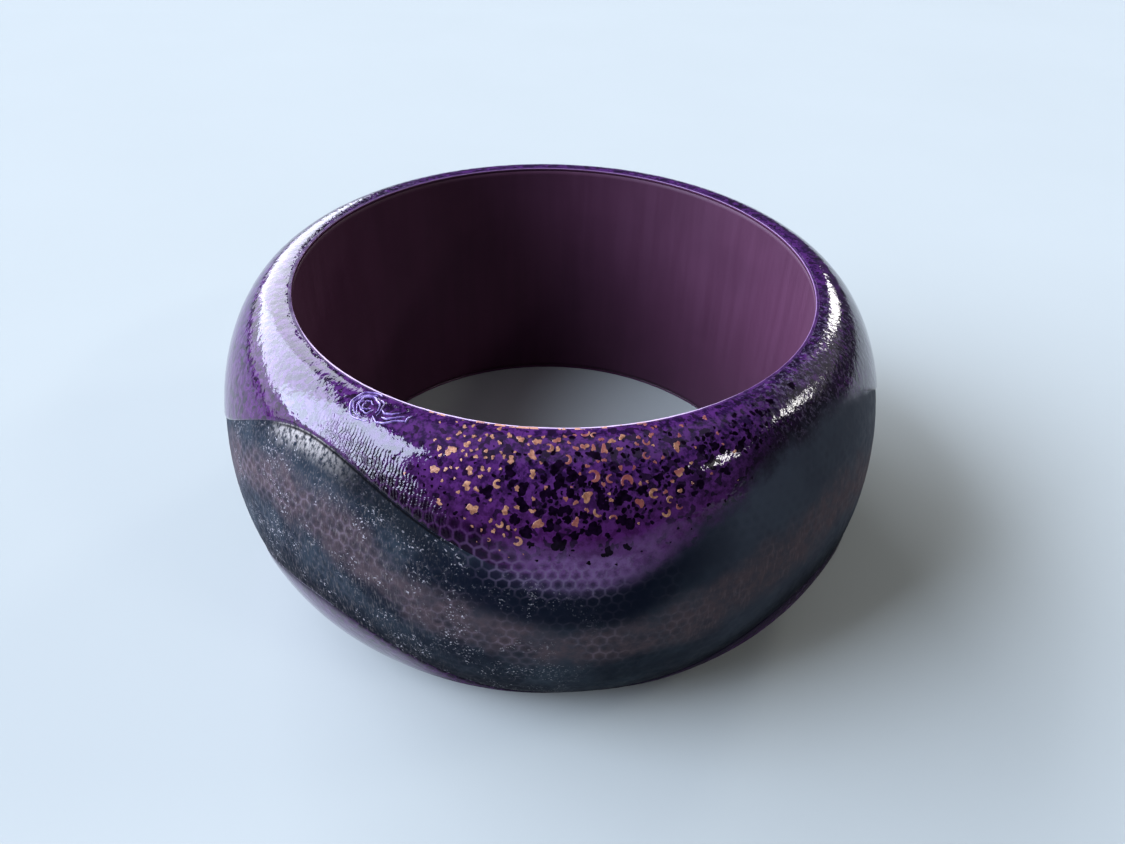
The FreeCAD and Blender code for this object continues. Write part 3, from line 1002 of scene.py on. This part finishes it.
def turned_wood():
    n = Nodes("turned_wood")
    rings = n.noise(1.2, 5, 0.6, upright=12)
    colour = n.mix(n.ramp(rings, 0.3, 0.7), srgb(140, 100, 66), srgb(190, 150, 106))
    return n.finish(colour, n.ramp(rings, 0.3, 0.7, 0.55, 0.75), n.bump(rings, 0.3, 0.1))


def purple_ground():
    n = Nodes("purple_ground")
    mottle = n.noise(1.1, 4, 0.62)
    colour = n.mix(n.ramp(mottle, 0.36, 0.62), srgb(70, 30, 98), srgb(92, 46, 124))
    return n.finish(colour, n.ramp(mottle, 0.3, 0.7, 0.5, 0.65), n.bump(mottle, 0.2, 0.05))


# ---- assembly
def dress(piece, material, slot, *nodes):
    piece.data.materials.append(material)
    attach(piece, "root")
    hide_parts(*nodes)


def dress_node(node, material):
    mesh = frame["nodes"][node].data
    mesh.materials.clear()
    mesh.materials.append(material)


taken = []  # the chips placed so far, which keep the two leaves apart
gloss = painted_dome("purple_gloss_field", 0.0)
edge_material = edge_line()
dress(make_upper_field(), gloss, "purple_gloss", "upper_lacquer")
dress(make_lower_field(), gloss, "purple_gloss", "lower_lacquer")
dress(make_ribbon(), painted_dome("slate_net_ribbon", 0.015), "slate_satin", "wave_band")
dress(make_bore_coat(), bore_paint(), "plum_satin", "bore_lining")
dress(make_bead("top_edge_line", HEIGHT, -1), edge_material, "edge_line", "top_rim_bead")
dress(make_bead("bottom_edge_line", 0.0, 1), edge_material, "edge_line", "bottom_rim_bead")
dress(make_leaf("copper_leaf", "copper_flakes", COPPER_SMALL, taken, COPPER_STYLE, 21),
      copper_leaf(), "copper_leaf", "copper_flakes")
dress(make_leaf("black_leaf", "black_flakes", BLACK_SMALL, taken, BLACK_STYLE, 22),
      black_leaf(), "black_leaf", "black_flakes")
dress(make_swirl(), swirl_lacquer_highlight(), "purple_gloss", "swirl_relief")
dress_node("wood_core", turned_wood())
dress_node("ground_coat", purple_ground())


# ---- floor, light and camera
FLOOR_RADIUS = 0.8
FLOOR_GAP = 0.00005  # keeps the floor clear of the base


def make_floor():
    """A pale disc that fades into the backdrop."""
    bpy.ops.mesh.primitive_circle_add(vertices=128, radius=FLOOR_RADIUS, fill_type="NGON",
                                      location=(0, 0, -FLOOR_GAP))
    floor = bpy.context.object
    floor.name = "floor"
    n = Nodes("pale_floor")
    colour = n.mix(n.noise(60, 3), srgb(165, 171, 166), srgb(169, 175, 170))
    reach = n.add("ShaderNodeVectorMath", operation="LENGTH")
    n.wire(reach.inputs[0], n.place)
    fade = n.ramp(reach.outputs["Value"], 0.5 * FLOOR_RADIUS, FLOOR_RADIUS, 1.0, 0.0)
    n.wire(n.shader.inputs["Alpha"], fade)
    floor.data.materials.append(n.finish(colour, 0.9, Specular_IOR_Level=0.0))


LAMP_DISTANCE = 12.0
LAMP_TARGET = Vector((0, 0, 0.02))


def add_lamp(name, place, aim, width, height, radiance, colour):
    data = bpy.data.lights.new(name, "AREA")
    data.shape = "RECTANGLE"
    data.size = width
    data.size_y = height
    data.energy = radiance * math.pi * width * height
    data.color = colour
    lamp = bpy.data.objects.new(name, data)
    lamp.location = LAMP_TARGET + place
    lamp.rotation_euler = aim.to_track_quat("-Z", "Y").to_euler()
    bpy.context.scene.collection.objects.link(lamp)


def softbox(name, heading, elevation, half_wide, half_tall, radiance, colour):
    """A panel facing the bangle, placed in degrees; headings run from +X towards +Y."""
    turn, lift = math.radians(heading), math.radians(elevation)
    towards = Vector((math.cos(lift) * math.cos(turn), math.cos(lift) * math.sin(turn), math.sin(lift)))
    width = 2 * LAMP_DISTANCE * math.tan(math.radians(half_wide))
    height = 2 * LAMP_DISTANCE * math.tan(math.radians(half_tall))
    add_lamp(name, towards * LAMP_DISTANCE, -towards, width, height, radiance, colour)


def tall_window(name, first, last, low, high, radiance, colour):
    """An upright panel between two headings and, in its middle, between two elevations."""
    turn = math.radians((first + last) / 2)
    level = Vector((math.cos(turn), math.sin(turn), 0))
    bottom, top = (LAMP_DISTANCE * math.tan(math.radians(angle)) for angle in (low, high))
    width = 2 * LAMP_DISTANCE * math.tan(math.radians((last - first) / 2))
    place = level * LAMP_DISTANCE + Vector((0, 0, (bottom + top) / 2))
    add_lamp(name, place, -level, width, top - bottom, radiance, colour)


def make_world():
    """A pale backdrop where the camera sees past the floor, and a dim room everywhere else."""
    world = bpy.data.worlds.new("studio")
    world.use_nodes = True
    tree = world.node_tree
    room = tree.nodes["Background"]
    room.inputs["Color"].default_value = (0.62, 0.68, 0.86, 1)
    room.inputs["Strength"].default_value = 0.1
    backdrop = tree.nodes.new("ShaderNodeBackground")
    backdrop.inputs["Color"].default_value = (0.66, 0.74, 0.84, 1)
    choice = tree.nodes.new("ShaderNodeMixShader")
    rays = tree.nodes.new("ShaderNodeLightPath")
    tree.links.new(rays.outputs["Is Camera Ray"], choice.inputs["Fac"])
    tree.links.new(room.outputs["Background"], choice.inputs[1])
    tree.links.new(backdrop.outputs["Background"], choice.inputs[2])
    tree.links.new(choice.outputs["Shader"], tree.nodes["World Output"].inputs["Surface"])
    bpy.context.scene.world = world


CAMERA_PLACE = (0.00157, -0.1026, 0.0931)
CAMERA_PITCH = 38.0  # degrees below the horizon
CAMERA_ROLL = 1.85
LENS = 28.46  # on a sensor 36 mm wide


def make_camera():
    data = bpy.data.cameras.new("camera")
    data.sensor_width = 36
    data.lens = LENS
    data.clip_start = 0.005
    camera = bpy.data.objects.new("camera", data)
    camera.location = CAMERA_PLACE
    tilt = Matrix.Rotation(math.radians(90 - CAMERA_PITCH), 4, "X")
    roll = Matrix.Rotation(math.radians(CAMERA_ROLL), 4, "Z")
    camera.rotation_euler = (tilt @ roll).to_euler()
    bpy.context.scene.collection.objects.link(camera)
    bpy.context.scene.camera = camera


make_floor()
make_world()
make_camera()
tall_window("window_left", 168, 215, 13, 54, 17.5, (0.7, 0.78, 1.0))
tall_window("window_middle", 132, 168, 11, 46, 11, (0.76, 0.81, 1.0))
tall_window("wall_left", 112, 206, 0.5, 11, 2.3, (0.84, 0.86, 1.0))
tall_window("window_back", 108, 132, 4, 42, 7, (0.82, 0.85, 1.0))
softbox("fill_right", 36, 30, 22, 13, 0.55, (0.96, 0.9, 1.0))
softbox("ceiling", 90, 83, 31, 27, 0.34, (0.95, 0.9, 1.0))
softbox("glint_back_right", 56, 20, 5, 4, 22, (1.0, 0.98, 0.96))
softbox("glint_right", 13, 29, 4.6, 2.3, 27, (1.0, 0.98, 0.96))
softbox("glint_front", -27, 34, 6.0, 1.3, 34, (1.0, 0.98, 0.96))
bpy.context.scene.view_settings.view_transform = "Standard"
